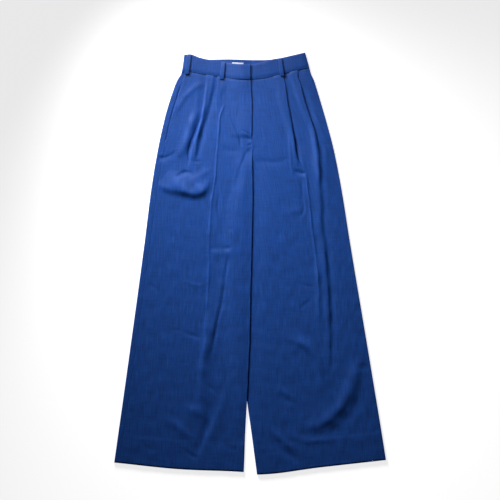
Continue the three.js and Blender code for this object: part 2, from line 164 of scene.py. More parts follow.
# Along x: the top edges of the front and back waistbands, and their seams to the panels.
waist = makeTable("x frontTop backTop frontSeam backSeam", [
    [-190, 7.5, 7.5, 54, 54],
    [-172, 6.2, 6.2, 52.6, 52.6],
    [-160, 5, 5.4, 51.8, 51.8],
    [-131, 14.4, 14, 56.4, 55],
    [-105, 19.6, 18.8, 60.4, 58.5],
    [-80, 21.2, 18.4, 64.4, 60],
    [-65, 26.3, 18, 67, 60.4],
    [-32, 31, 18.8, 70.8, 60.8],
    [4, 31.8, 20, 71, 61],
    [33, 25.2, 19.9, 68.6, 60.4],
    [59, 18.6, 18.4, 63, 58.8],
    [83, 14.6, 15.2, 57.7, 55],
    [107, 9.3, 9.8, 51.5, 50.5],
    [134, 3.2, 3.6, 44.7, 44.7],
    [147, 0, 0, 42, 42],
    [165, -3, -3, 38.6, 38.6],
])
hems = makeTable("x down", [
    [-360, 1083.9],
    [-174, 1102.4],
    [-18, 1109],
    [18, 1115.7],
    [187, 1096.6],
    [360, 1077.2],
])
# The pleats' folds, first and second from the middle, and how each opens on its way down.
pleatLines = makeTable("down firstRight secondRight firstLeft secondLeft", [
    [65, -86, -116, 88, 126.5],
    [85, -86.5, -117.5, 93.3, 133.3],
    [126, -90, -123, 98.5, 144],
    [170, -88.2, -129.5, 107.2, 158.5],
    [208, -86, -140, 114.2, 171],
    [242, -88.2, -149.5, 119.6, 179],
    [271, -91.2, -155, 124.8, 182.5],
    [295, -93.5, -162, 133.4, 183.5],
    [330, -96.5, -170, 145, 184.7],
    [380, -101, -178, 154.8, 185.5],
    [450, -105.7, -186, 162.4, 188.7],
    [560, -108.7, -195, 176, 201],
    [620, -110.5, -200.5, 180.5, 206],
    [700, -120, -207, 183, 209.6],
    [833, -131.4, -216, 186.6, 211.7],
    [1110, -137, -238, 192, 215.7],
])
pleatShape = makeTable("down tuck turn drop", [
    [40, 15, 180, 1.5],
    [70, 13, 180, 1.6],
    [126, 9, 180, 3.2],
    [170, 5, 180, 3.4],
    [215, 1, 180, 3.2],
    [242, 0.8, 100, 3.1],
    [260, 0.8, 50, 2],
    [285, 0.8, 18, 0.7],
    [330, 0.8, 6, 0.15],
    [460, 0.8, 5, 0.11],
])
# The left leg's second pleat opens sooner, and the right leg's first one sooner still.
farOpen = makeTable("down tuck turn drop", [
    [40, 15, 180, 1.5],
    [70, 13, 180, 1.6],
    [126, 9, 180, 3.2],
    [170, 5, 180, 3.4],
    [203, 1.2, 180, 3.2],
    [220, 0.8, 90, 2.6],
    [238, 0.8, 40, 1.8],
    [262, 0.8, 15, 0.7],
    [310, 0.8, 5, 0.11],
])
soonOpen = makeTable("down tuck turn drop", [
    [40, 15, 180, 1.5],
    [70, 12, 180, 1.7],
    [98, 6, 180, 2.4],
    [112, 1.4, 150, 2],
    [118, 0.8, 115, 1.7],
    [124, 0.5, 80, 1.3],
    [138, 0.5, 35, 0.7],
    [165, 0.6, 15, 0.3],
    [300, 0.8, 5, 0.11],
])
# Beside each pleat the cloth is flat and then runs out, and between two pleats it climbs beside the second.
pleatRamp = {"flat": 3, "run": 18, "rise": 11}

# Folds of the fronts. Each has its width on the side towards the light and on the lee side, and a course
# of points: x, down and height. Walked along its course, the lee is on the left hand.
frontFolds = [
    # ridge beside the second pleat, turning to the side seam
    (11, 9, [
        (-131, 147, 0), (-142, 163, 1.4), (-151, 184, 2.4), (-159, 211, 2.8), (-167, 235, 2.8),
        (-176, 255, 2.2), (-186, 267, 1.2), (-196, 275, 0.4), (-206, 281, 0),
    ]),
    # narrow groove along its inner side
    (3.5, 3.5, [
        (-127, 168, 0), (-132, 181, -1.4), (-146, 215, -2.2), (-157, 243, -2.4), (-162, 266, -2),
        (-162, 286, -1), (-158, 300, 0),
    ]),
    # roll of the second pleat
    (2.5, 5, [
        (-113, 83, 0.4), (-118, 121, 1.2), (-123, 152, 2), (-128, 176, 2.6), (-134, 200, 2.8),
        (-140, 224, 2.6), (-145, 250, 2.2), (-148, 272, 1.2), (-149, 285, 0),
    ]),
    # groove between the pleats
    (5, 8, [
        (-97, 105, 0), (-104, 126, -0.6), (-112, 158, -1), (-120, 189, -1.2), (-127, 224, -1.2),
        (-135, 258, -0.9), (-139, 280, 0),
    ]),
    # mark at its foot
    (2.5, 2.5, [(-155, 284, 0), (-142, 288, -0.8), (-126, 285, 0)]),
    # slant from the second pleat to the pocket
    (8, 7, [
        (-118, 82, 0), (-139, 89, 0.9), (-155, 101, 1.1), (-171, 118, 1.1), (-187, 139, 0.9),
        (-200, 160, 0.5), (-208, 176, 0),
    ]),
    # pucker below the pocket
    (9, 3, [(-245, 274, 0), (-234, 277, -1.3), (-219, 276, -1.2), (-203, 268, -0.7), (-192, 256, 0)]),
    # dent over the pocket bag
    (10, 3.5, [(-196, 332, 0), (-183, 321, -1.1), (-169, 316, -1.3), (-153, 318, 0)]),
    # lower edge of the pocket bag
    (36, 10, [
        (-98, 318, 0), (-108, 334, 1.2), (-119, 353, 3), (-130, 369, 5), (-147, 372, 6.2),
        (-163, 370, 6.2), (-184, 366, 5.6), (-206, 361, 4.4), (-222, 355, 3), (-235, 348, 1.4),
        (-243, 342, 0),
    ]),
    # ridge over the pocket bag
    (9, 9, [(-98, 302, 0), (-114, 313, 0.9), (-132, 326, 1.2), (-153, 340, 0.9), (-176, 352, 0)]),
    # trough from the crotch
    (4.5, 15, [
        (4, 255, -0.5), (-4, 260, -1.1), (-11, 269, -1.3), (-17, 283, -1.3), (-24, 299, -1.2),
        (-31, 320, -0.9), (-35, 340, -0.7), (-38, 366, 0),
    ]),
    # puckers at the foot of the fly
    (2, 3, [(-24, 204, 0), (-12, 212, -0.7), (1, 218, -0.9)]),
    (2, 3, [(-14, 222, 0), (-6, 228, -0.6), (2, 231, -0.8)]),
    (2.2, 3, [(-12, 248, 0), (-3, 246, -0.9), (6, 246, -0.9)]),
    (2.2, 2.2, [(-12, 238, 0), (1, 240, 0.7)]),
    # line of the left leg's pocket or fly facing
    (2, 5, [
        (-57, 160, 0), (-48, 180, -0.8), (-38, 202, -1.2), (-30, 222, -1.4), (-26, 240, -1),
        (-24, 252, 0),
    ]),
    # dent beside it
    (2, 9, [(-33, 136, 0), (-32, 158, -0.9), (-36, 178, 0)]),
    # smudge under the fly
    (8, 8, [(-82, 250, 0), (-63, 258, -0.6), (-47, 261, -0.6), (-26, 256, 0)]),
    # right leg's pressed crease
    (1.8, 3, [
        (-66, 134, 0), (-72, 147, 0.6), (-78, 162, 1), (-81, 182, 1.1), (-85, 232, 1.1),
        (-88, 272, 1), (-91, 317, 1), (-98, 364, 1), (-103, 404, 0.9), (-108, 492, 0.9),
        (-109, 555, 0.9), (-110, 621, 0.9), (-115, 677, 0.5), (-119, 735, 0.2), (-122, 780, 0),
    ]),
    # its broad lower stretch
    (8, 17, [
        (-104, 640, 0), (-109, 690, 2), (-113, 730, 3.2), (-117, 762, 3.9), (-122, 800, 3.8),
        (-125, 835, 3.2), (-128, 870, 2.5), (-131, 905, 1.5), (-134, 940, 0),
    ]),
    # dent beside the crease
    (3, 5, [(-84, 345, 0), (-84, 375, -0.6), (-85, 410, -0.7), (-85, 440, 0)]),
    # crumpled corner at the thigh
    (2.5, 2.5, [(-63, 464, 0), (-52, 465, -0.8), (-39, 469, 0)]),
    # edge across it
    (5, 10, [(-47, 528, 0), (-60, 530, 0.9), (-78, 530, 0.7), (-96, 528, 0.7), (-105, 527, 0)]),
    # hollow over that edge
    (5, 3, [(-47, 513, 0), (-57, 518, -1), (-76, 518, -0.5), (-97, 519, -0.5), (-105, 519, 0)]),
    # long groove of the right leg
    (4, 4, [
        (-59, 539, 0), (-60, 555, -0.8), (-62, 576, -1), (-69, 627, -1.1), (-76, 669, -1.1),
        (-84, 704, -1), (-91, 741, -0.9), (-97, 770, -0.7), (-102, 794, -0.3), (-104, 804, 0),
    ]),
    # its left shoulder
    (8, 5, [
        (-68, 545, 0), (-71, 571, 0.4), (-77, 616, 0.7), (-86, 669, 0.8), (-94, 714, 0.7),
        (-102, 754, 0.5), (-109, 780, 0.3), (-113, 796, 0),
    ]),
    # thin creases at the knee
    (2, 2.5, [
        (-113, 606, 0), (-121, 611, 0.5), (-134, 616, 0.7), (-153, 613, 0.7), (-171, 607, 0.6),
        (-190, 603, 0),
    ]),
    (4, 4, [(-272, 613, 0), (-256, 620, -0.7), (-237, 632, 0)]),
    (3.5, 3.5, [(-179, 738, 0), (-161, 745, -1), (-142, 751, -1), (-131, 754, 0)]),
    (3, 3, [(-216, 735, 0), (-195, 735, -0.6), (-176, 738, 0)]),
    # bulges of the right shin
    (24, 12, [(-182, 936, 0), (-160, 942, 1.2), (-139, 944, 1.6), (-118, 930, 0)]),
    (12, 11, [(-222, 970, 0), (-203, 981, 1.6), (-184, 996, 2), (-171, 1014, 1.4), (-163, 1034, 0)]),
    # deep groove of the right shin
    (13, 9, [
        (-96, 926, 0), (-102, 948, -1.6), (-109, 974, -2.3), (-117, 999, -2.3), (-126, 1024, -2.1),
        (-134, 1046, -1.6), (-143, 1070, 0),
    ]),
    # ridge on its right
    (10, 14, [
        (-44, 841, 0), (-57, 881, 0.6), (-68, 916, 0.9), (-81, 950, 1.2), (-93, 979, 1.3),
        (-105, 1008, 1), (-112, 1030, 0),
    ]),
    # hook near the right hem
    (4, 4, [(-179, 1045, 0), (-163, 1059, -1.2), (-147, 1071, -1.3), (-134, 1073, 0)]),
    (6, 6, [(-290, 1030, 0), (-267, 1049, -0.7), (-240, 1048, 0)]),
    (5, 5, [(-78, 1030, 0), (-49, 1047, -0.6), (-31, 1053, 0)]),
    (5, 5, [(-121, 873, 0), (-102, 889, -0.8), (-78, 910, 0)]),
    # left leg's first pleat, opening
    (3, 5, [
        (99, 139, 0), (109, 179, -0.8), (117, 219, -1.1), (124, 258, -1.3), (130, 285, -0.9),
        (134, 303, 0),
    ]),
    # its shoulder
    (8, 2.5, [(107, 184, 0), (115, 232, 1.2), (121, 264, 1.6), (125, 285, 1), (129, 303, 0)]),
    # hollow along the left leg's second pleat
    (6, 9, [
        (163, 197, 0), (176, 224, -1), (186, 250, -1.4), (189, 277, -1.4), (191, 311, -1.1),
        (193, 364, -1), (196, 431, -0.9), (202, 497, -0.9), (209, 555, -1), (213, 616, -1.1),
        (217, 682, -1), (218, 749, -0.9), (216, 802, -0.7), (213, 852, 0),
    ]),
    # its shoulder
    (12, 7, [
        (163, 200, 0), (171, 245, 1.5), (175, 285, 1.8), (179, 333, 1.8), (181, 378, 1.6),
        (184, 431, 1.2), (189, 484, 1.6), (196, 537, 2), (201, 590, 2.1), (204, 643, 2),
        (206, 696, 1.8), (209, 749, 1.2), (209, 802, 0.8), (208, 852, 0),
    ]),
    # fall from it to the outer fold
    (6, 24, [
        (157, 165, 0), (166, 203, 1.4), (174, 240, 2.7), (178, 275, 3), (183, 320, 2.4),
        (188, 370, 1.3), (192, 430, 0),
    ]),
    (4, 4, [(184, 232, 0), (197, 240, -0.8), (210, 249, 0)]),
    # print of the left pocket bag
    (8, 8, [(12, 288, 0), (43, 290, -0.7), (78, 289, -0.8), (104, 280, 0)]),
    # its edge
    (2.5, 3, [(96, 184, 0), (103, 232, 0.5), (108, 280, 0.7), (110, 311, 0.5), (111, 341, 0)]),
    # knot under the first pleat
    (6, 5, [(115, 312, 0), (126, 316, -1.7), (139, 319, -2), (148, 317, 0)]),
    (4, 4, [
        (135, 322, 0), (138, 354, -0.8), (139, 386, -0.8), (142, 407, -1), (138, 425, -1.1),
        (128, 439, 0),
    ]),
    (9, 7, [(138, 416, 0), (128, 421, 0.7), (112, 423, 0.7), (94, 425, 0)]),
    # left leg's pressed crease
    (1.8, 3, [
        (132, 258, 0), (139, 295, 0.8), (147, 330, 1), (155, 378, 1), (161, 441, 1), (171, 518, 1),
        (177, 571, 0.8), (181, 629, 0.5), (183, 669, 0),
    ]),
    # its broad lower stretch
    (7, 8, [
        (175, 537, 0), (180, 576, 1.6), (181, 629, 1.8), (182, 682, 1.5), (184, 722, 0.6),
        (185, 746, 0),
    ]),
    (4, 4, [(128, 611, 0), (144, 616, -0.7), (163, 619, -0.7), (173, 616, 0)]),
    (4, 4, [(131, 682, 0), (147, 664, -0.8), (165, 651, 0)]),
    # arc of the left knee
    (13, 8, [
        (219, 938, 0), (207, 904, 1.2), (192, 868, 1.8), (181, 836, 2.5), (170, 807, 3),
        (153, 783, 3), (131, 766, 2.5), (107, 758, 1.3), (84, 760, 0),
    ]),
    # great ridge of the left shin
    (19, 14, [
        (294, 806, 0), (282, 840, 1.8), (272, 874, 2.9), (260, 906, 3.3), (243, 934, 3.4),
        (221, 958, 3.1), (197, 976, 2.6), (171, 986, 1.7), (144, 990, 0.8), (118, 990, 0),
    ]),
    # hollow on its lower side
    (8, 16, [
        (303, 857, 0), (292, 897, -0.6), (279, 934, -0.9), (257, 966, -1), (231, 992, -1),
        (203, 1008, -0.6), (173, 1014, 0),
    ]),
    # pinch at the outer fold
    (9, 8, [(276, 834, 0), (294, 832, -0.9), (311, 836, -0.9), (324, 842, 0)]),
    # arcs near the left hem
    (9, 7, [
        (250, 1019, 0), (208, 1024, 0.6), (173, 1027, 1), (142, 1024, 1), (115, 1017, 0.7),
        (89, 1004, 0),
    ]),
    (11, 9, [
        (140, 1062, 0), (123, 1052, 0.9), (104, 1038, 1.4), (83, 1022, 1.5), (65, 1006, 1.1),
        (49, 988, 0.6), (38, 970, 0),
    ]),
    (10, 9, [(140, 1082, 0), (120, 1076, -0.8), (97, 1062, -1.1), (74, 1044, -0.7), (52, 1020, 0)]),
    (7, 7, [(123, 921, 0), (104, 910, 0.9), (89, 897, 0.9), (70, 884, 0)]),
    (10, 9, [(70, 900, 0), (92, 918, -0.8), (120, 930, 0)]),
]
# Soft creases of the backs, seen only when the trousers are turned over. They press up into the hollow.
backFolds = [
    (12, 12, [(-60, 280, 0), (-110, 310, 0.7), (-150, 360, 0)]),
    (12, 12, [(-190, 420, 0), (-162, 590, 0.6), (-120, 760, 0)]),
    (14, 14, [(-250, 700, 0), (-222, 840, 0.7), (-180, 980, 0)]),
    (12, 10, [(-90, 880, 0), (-140, 930, 0.6), (-200, 960, 0)]),
    (12, 12, [(60, 300, 0), (120, 330, 0.7), (170, 380, 0)]),
    (12, 10, [(190, 430, 0), (164, 605, 0.6), (150, 780, 0)]),
    (14, 14, [(240, 720, 0), (258, 840, 0.7), (290, 960, 0)]),
    (10, 12, [(80, 900, 0), (140, 935, 0.6), (210, 990, 0)]),
    (10, 10, [(-90, 110, 0), (-116, 160, 0.5), (-150, 210, 0)]),
    (10, 10, [(70, 110, 0), (94, 165, 0.5), (130, 220, 0)]),
]


# A smooth line through a fold's points, four steps to each span.
def smoothCourse(course):
    points = np.array(course, float)
    ends = np.vstack([2 * points[0] - points[1], points, 2 * points[-1] - points[-2]])
    out = [points[0]]
    for a, b, c, d in zip(ends, ends[1:], ends[2:], ends[3:]):
        square, cube = 2 * a - 5 * b + 4 * c - d, 3 * b - a - 3 * c + d
        for t in (0.25, 0.5, 0.75, 1):
            out.append(0.5 * (2 * b + (c - a) * t + square * t**2 + cube * t**3))
    return np.array(out)


def foldHeight(fold, x, down):
    sun, lee, course = fold
    points = smoothCourse(course)
    reach = 3 * max(sun, lee)
    near = (x > points[:, 0].min() - reach) & (x < points[:, 0].max() + reach)
    near &= (down > points[:, 1].min() - reach) & (down < points[:, 1].max() + reach)
    px, pd = x[near], down[near]
    best, value = np.full(px.shape, 1e9), np.zeros(px.shape)
    for (x1, d1, h1), (x2, d2, h2) in zip(points, points[1:]):
        dx, dd = x2 - x1, d2 - d1
        t = np.clip(((px - x1) * dx + (pd - d1) * dd) / (dx * dx + dd * dd + 1e-9), 0, 1)
        away = np.hypot(px - x1 - t * dx, pd - d1 - t * dd)
        leeward = (px - x1) * dd - (pd - d1) * dx > 0
        height = (h1 + (h2 - h1) * t) * np.exp(-((away / np.where(leeward, lee, sun)) ** 2))
        value = np.where(away < best, height, value)
        best = np.minimum(best, away)
    total = np.zeros(x.shape)
    total[near] = value
    return total


# The courses waver a little and their heights come and go, so that no fold runs like a ruled line.
# Each wave has its height, its lengths along x and down, and where it starts.
waver = {
    "across": [(0.48, 31, 17, 0), (0.33, -12, 7.3, 2)],
    "along": [(0.72, 19, -37, 1), (0.495, 8.1, 13, 0)],
    "height": [(0.15, 14, 22, 0), (0.18, 9, -11, 4)],
}


def waves(kind, x, down):
    return sum(high * np.sin(x / long + down / tall + start) for high, long, tall, start in waver[kind])


def foldSum(folds, x, down):
    nearX, nearDown = x + waves("across", x, down), down + waves("along", x, down)
    return (1 + waves("height", x, down)) * sum(foldHeight(fold, nearX, nearDown) for fold in folds)


def makeSide(name, sign, opening):
    end = name.capitalize()
    return {
        "sign": sign,
        "outer": sides[name],
        "seamIn": sides["seam" + end],
        "front": frontMiddle[name],
        "back": lambda down: np.where(down < crotch["down"], seatSeam(down), frontMiddle[name](down)),
        "pleats": [pleatLines["first" + end], pleatLines["second" + end]],
        "opening": opening,
    }


right = makeSide("right", -1, [soonOpen, pleatShape])
left = makeSide("left", 1, [pleatShape, farOpen])


# The right side seam and the pocket lie on top, the left side seam underneath.
def topSeam(down):
    return sides["right"](down) + sides["seamRight"](down)


def underSeam(down):
    return sides["left"](down) - sides["seamLeft"](down)


rise = {"height": 1.7, "flat": 9, "ramp": 34, "foot": 72, "faded": 135, "middle": -32.5}


# Everything rises a little over the two belt loops that lie underneath.
def restLift(x, down):
    nearest = np.minimum(np.abs(x - rise["middle"]), np.abs(x - underSeam(down)))
    bump = 1 - ease(rise["flat"], rise["flat"] + rise["ramp"], nearest)
    return rise["height"] * bump * (1 - ease(rise["foot"], rise["faded"], down))


def crossing(down):
    shut = 1 - ease(legCross["open"], legCross["end"], down)
    return ease(legCross["start"], legCross["full"], down) * shut


# The right leg rises to lie over the left one.
def legOver(side, x, down):
    if side is left:
        return 0 * x
    edge = frontMiddle["left"](down) - legCross["margin"]
    return legCross["lift"] * crossing(down) * ease(edge - legCross["ramp"], edge, x)


def frontHeight(side, x, down):
    if side is right:
        near = 1 - ease(0, legCross["edgeRun"], np.abs(x - frontMiddle["right"](down)))
        return mix(body["frontLevel"], legCross["edgeLevel"], near * crossing(down))
    edge = frontMiddle["right"](down) + legCross["rest"]
    pressed = crossing(down) * (1 - ease(edge, edge + legCross["ramp"], x))
    return mix(body["frontLevel"], body["pressedLevel"], pressed)


# The folds are calmed near seams, edges and hem, which lie flat.
def relief(side, x, down):
    calm = ease(*calmed["outer"], np.abs(side["outer"](down) - x))
    calm = calm * ease(*calmed["middle"], np.abs(side["front"](down) - x))
    calm = calm * ease(*calmed["waist"], down - waist["frontSeam"](x))
    calm = calm * ease(*calmed["hem"], hems["down"](x) - down)
    return calm * foldSum(frontFolds, x, down)


# Faint puckers, stronger down the legs: a few long waves that cross each other.
def puckers(x, down):
    total = 0 * x
    for k in range(pucker["waves"]):
        turn = pucker["turn"] + pucker["turnStep"] * k
        length = pucker["short"] + (pucker["long"] - pucker["short"]) * ((k * pucker["lengthStep"]) % 1)
        across = x * math.cos(turn) + down * math.sin(turn)
        along = down * math.cos(turn) - x * math.sin(turn)
        bend = pucker["bend"] * np.sin(along / (length * pucker["bendLength"]) + k)
        total = total + np.sin(2 * math.pi * across / length + bend + k * k)
    stronger = mix(pucker["atWaist"], 1, ease(pucker["start"], pucker["full"], down))
    return pucker["height"] * total / math.sqrt(pucker["waves"]) * stronger


def seamValley(distance):
    return -seamLook["depth"] * np.exp(-((distance / seamLook["width"]) ** 2))


# The inner edge of a panel: flat above the crotch, a quarter turn below it. up is -1 for a front.
def innerStart(side, edge, down):
    radius = (frontHeight(side, edge, down) - body["backLevel"]) / 2
    arc = radius * math.pi / 2
    turned = np.clip((down - crotch["down"]) / (crotch["turned"] - crotch["down"]), 0, 1)
    start = edge + side["sign"] * mix(arc, radius + body["wall"] / 2, turned)
    return start, arc, turned


def innerEdge(side, edge, up, down, share):
    start, arc, turned = innerStart(side, edge, down)
    angle = np.maximum(turned * math.pi / 2, 0.01)
    s = angle * (1 - share) * (1 - turned * body["inseamGap"] / (2 * arc))
    level = frontHeight(side, edge, down) if up < 0 else body["backLevel"]
    x = start - side["sign"] * arc * np.sin(s) / angle
    return x, level + up * arc * (1 - np.cos(s)) / angle


# A pleat in section: over the fold, back under it by the tuck, and out again below.
def pleatAt(side, which, down):
    shape = side["opening"][which]
    turn, tuck, drop = (shape[name](down) for name in ("turn", "tuck", "drop"))
    turn = np.radians(turn)
    radius = (drop - tuck * np.sin(turn)) / (2 * (1 - np.cos(turn)))
    start = side["pleats"][which](down) - side["sign"] * radius * np.sin(np.minimum(turn, math.pi / 2))
    last = radius * np.sin(turn)
    middle = last + tuck / 2 * np.cos(turn)
    end = start + side["sign"] * 2 * middle
    return {"turn": turn, "tuck": tuck, "drop": drop, "radius": radius, "start": start, "end": end,
            "last": last, "middle": middle, "reach": tuck + pleatRamp["flat"]}


def pleatOver(side, which, down, share):
    p = pleatAt(side, which, down)
    a = p["turn"] * share
    return p["start"] + side["sign"] * p["radius"] * np.sin(a), p["drop"] / 2 - p["radius"] * (1 - np.cos(a))


def pleatBack(side, which, down, share):
    p = pleatAt(side, which, down)
    low = p["drop"] / 2 - p["radius"] * (1 - np.cos(p["turn"]))
    along = p["last"] + p["tuck"] * np.cos(p["turn"]) * share
    return p["start"] + side["sign"] * along, low - p["tuck"] * np.sin(p["turn"]) * share


def pleatUnder(side, which, down, share):
    p = pleatAt(side, which, down)
    a = p["turn"] * (1 - share)
    along = 2 * p["middle"] - p["radius"] * np.sin(a)
    return p["start"] + side["sign"] * along, -p["drop"] / 2 + p["radius"] * (1 - np.cos(a))


# Half a turn round an outer fold, from the level on top to the one underneath.
def halfTurn(side, level, bend, inset):
    def shape(down, share):
        a = math.pi * share
        x = side["outer"](down) - side["sign"] * inset + side["sign"] * bend * np.sin(a)
        return x, level - bend * (1 - np.cos(a)) + 0 * x, 0 * x

    return shape


def panelTurn(side):
    return halfTurn(side, body["frontLevel"], outerBend, outerInset)


# How many columns each stretch of a section has.
columnPlan = {
    "edge": 5, "middle": 60, "over": 7, "tuck": 4, "between": 18, "outer": 48, "turn": 10, "under": 6,
    "backEdge": 9, "floor": 70, "strip": 12,
}


# The stretches of a front's section, from the middle to the side seam: number of columns and shape.
# Each shape gives x, the height, and how much of the folds it takes.
def frontStretches(side):
    def withLevel(x, step, down):
        return x, frontHeight(side, x, down) + step, 1 + 0 * x

    def inner(down, share):
        x, z = innerEdge(side, side["front"](down), -1, down, share)
        return x, z, 0 * x

    def middle(down, share):
        start = innerStart(side, side["front"](down), down)[0]
        p = pleatAt(side, 0, down)
        x = mix(start, p["start"], share)
        near = np.abs(p["start"] - x)
        step = p["drop"] / 2 * (1 - ease(p["reach"], p["reach"] + pleatRamp["run"], near))
        return withLevel(x, step, down)

    def between(down, share):
        p, q = pleatAt(side, 0, down), pleatAt(side, 1, down)
        x = mix(p["end"], q["start"], share)
        far = np.abs(q["start"] - p["end"])
        start = np.maximum(far - q["reach"] - pleatRamp["rise"], p["reach"])
        climb = ease(start, np.maximum(far - q["reach"], start + 1), far * share)
        return withLevel(x, mix(-p["drop"] / 2, q["drop"] / 2, climb), down)

    def outerFlat(down, share):
        q = pleatAt(side, 1, down)
        inset = side["seamIn"](down) if side is right else outerInset
        x = mix(q["end"], side["outer"](down) - side["sign"] * inset, share)
        away = np.abs(x - q["end"])
        step = -q["drop"] / 2 * (1 - ease(q["reach"], q["reach"] + pleatRamp["run"], away))
        return withLevel(x, step, down)

    def pleatPart(part, which):
        return lambda down, share: withLevel(*part(side, which, down, share), down)

    stretches = [(columnPlan["edge"], inner), (columnPlan["middle"], middle)]
    for which, count, run in ((0, columnPlan["between"], between), (1, columnPlan["outer"], outerFlat)):
        stretches += [
            (columnPlan["over"], pleatPart(pleatOver, which)),
            (columnPlan["tuck"], pleatPart(pleatBack, which)),
            (columnPlan["over"], pleatPart(pleatUnder, which)),
            (count, run),
        ]
    if side is left:
        stretches += [(columnPlan["turn"], panelTurn(side)), (columnPlan["under"], underRun)]
    return stretches


def underRun(down, share):
    x = mix(sides["left"](down) - outerInset, underSeam(down), share)
    return x, body["backLevel"] + 0 * x, 0 * x


def backStretches(side):
    def inner(down, share):
        x, z = innerEdge(side, side["back"](down), 1, down, share)
        return x, z, 0 * x

    def floorRun(down, share):
        start = innerStart(side, side["back"](down), down)[0]
        inset = outerInset if side is right else side["seamIn"](down) + body["gap"]
        x = mix(start, side["outer"](down) - side["sign"] * inset, share)
        return x, body["backLevel"] + 0 * x, -1 + 0 * x

    def topStrip(down, share):
        first = ease(pocket["top"], pocket["top"] + pocket["facingRun"], down)
        last = 1 - ease(pocket["foot"] - pocket["facingRun"], pocket["foot"], down)
        x = mix(side["outer"](down) + outerInset, topSeam(down) + pocket["facing"] * first * last, share)
        return x, body["frontLevel"] + 0 * x, 1 + 0 * x

    stretches = [(columnPlan["backEdge"], inner), (columnPlan["floor"], floorRun)]
    if side is right:
        downwards = panelTurn(side)
        upwards = (columnPlan["turn"], lambda down, share: downwards(down, 1 - share))
        stretches += [upwards, (columnPlan["strip"], topStrip)]
    return stretches


# The right front laps over the left one at the fly, and its pocket edge over the facing.
def laps(x, down):
    lap = fly["lift"] * ease(fly["start"], fly["full"], x) * (1 - ease(fly["foot"], fly["faded"], down))
    lip = pocket["lift"] * (1 - ease(pocket["edge"], pocket["ramp"], np.abs(x - topSeam(down))))
    return lap + lip * (1 - ease(pocket["lipFoot"], pocket["faded"], down))


# Rows of a panel by their nominal down: close together at the pleats. The first and last ones follow
# the waist seam and the hem.
rowPlan = {
    "top": 62, "topEnd": 150, "pleatsEnd": 330, "footStart": 1000, "foot": 1100,
    "pleats": 105, "legs": 165,
}


def panelRows():
    above = np.linspace(rowPlan["top"], rowPlan["pleatsEnd"], rowPlan["pleats"], endpoint=False)
    return np.concatenate([above, np.linspace(rowPlan["pleatsEnd"], rowPlan["foot"], rowPlan["legs"])])


def rowDown(nominal, x, seam):
    top = seam(x) - body["underBand"] - rowPlan["top"]
    foot = hems["down"](x) - rowPlan["foot"]
    atTop = 1 - ease(rowPlan["top"], rowPlan["topEnd"], nominal)
    return nominal + top * atTop + foot * ease(rowPlan["footStart"], rowPlan["foot"], nominal)


passes = 4  # each column finds its own distance down step by step, because the edges slant


def layOut(stretches, nominal, downAt):
    found = []
    for k, (count, shape) in enumerate(stretches):
        share = np.linspace(0, 1, count, endpoint=k == len(stretches) - 1)[None, :]
        row = nominal[:, None] + 0 * share
        down = row
        for turn in range(passes):
            down = downAt(row, shape(down, share)[0])
        x, z, soft = shape(down, share)
        found.append(np.stack([x, down, z + 0 * x, soft + 0 * x]))
    return np.concatenate(found, axis=2)


def sideValley(x, down):
    foot = ease(pocket["foot"], pocket["foot"] + pocket["seamRun"], down)
    return seamValley(x - topSeam(down)) * seamLook["side"] * foot


def frontPanel(side):
    seam = waist["frontSeam"]
    x, down, z, soft = layOut(frontStretches(side), panelRows(), lambda row, x: rowDown(row, x, seam))
    z = z + soft * relief(side, x, down)
    aboveHem = hems["down"](x) - down
    valley = seamValley(down - seam(x)) + seamValley(aboveHem * hemTurn["edgeScale"]) * hemTurn["edgeDepth"]
    if side is right:
        z = z + laps(x, down)
        valley = valley + sideValley(x, down)
    shown = ease(crotchSeam["start"], crotchSeam["full"], down)
    shown = shown * (1 - ease(crotchSeam["fading"], crotchSeam["end"], down))
    middle = seamValley(x - frontMiddle["right"](down)) * shown
    turned = ease(0, hemTurn["run"], hemTurn["height"] - aboveHem) * hemTurn["step"]
    z = z + soft * (valley + middle + turned + puckers(x, down))
    z = np.where(soft > 0, np.maximum(z, body["lowestFront"]), z)
    return x, down, z + restLift(x, down) + legOver(side, x, down)


def backPanel(side):
    seam = waist["backSeam"]
    x, down, z, soft = layOut(backStretches(side), panelRows(), lambda row, x: rowDown(row, x, seam))
    sunk = pocket["sunk"] * ease(-pocket["width"], pocket["lipIn"], x - topSeam(down))
    sunk = sunk * ease(pocket["top"], pocket["top"] + pocket["topRun"], down)
    sunk = sunk * (1 - ease(pocket["foot"] - pocket["footRun"], pocket["foot"], down))
    shown = relief(side, x, down) + sideValley(x, down) - sunk
    calm = ease(*backCalmed["outer"], np.abs(side["outer"](down) - x))
    calm = calm * ease(*backCalmed["middle"], np.abs(side["back"](down) - x))
    z = z + np.where(soft > 0, shown, 0) + np.where(soft < 0, calm * foldSum(backFolds, x, down), 0)
    return x, down, z + restLift(x, down) + legOver(side, x, down)


edgeRound = {"segments": 3, "sharper": 50}


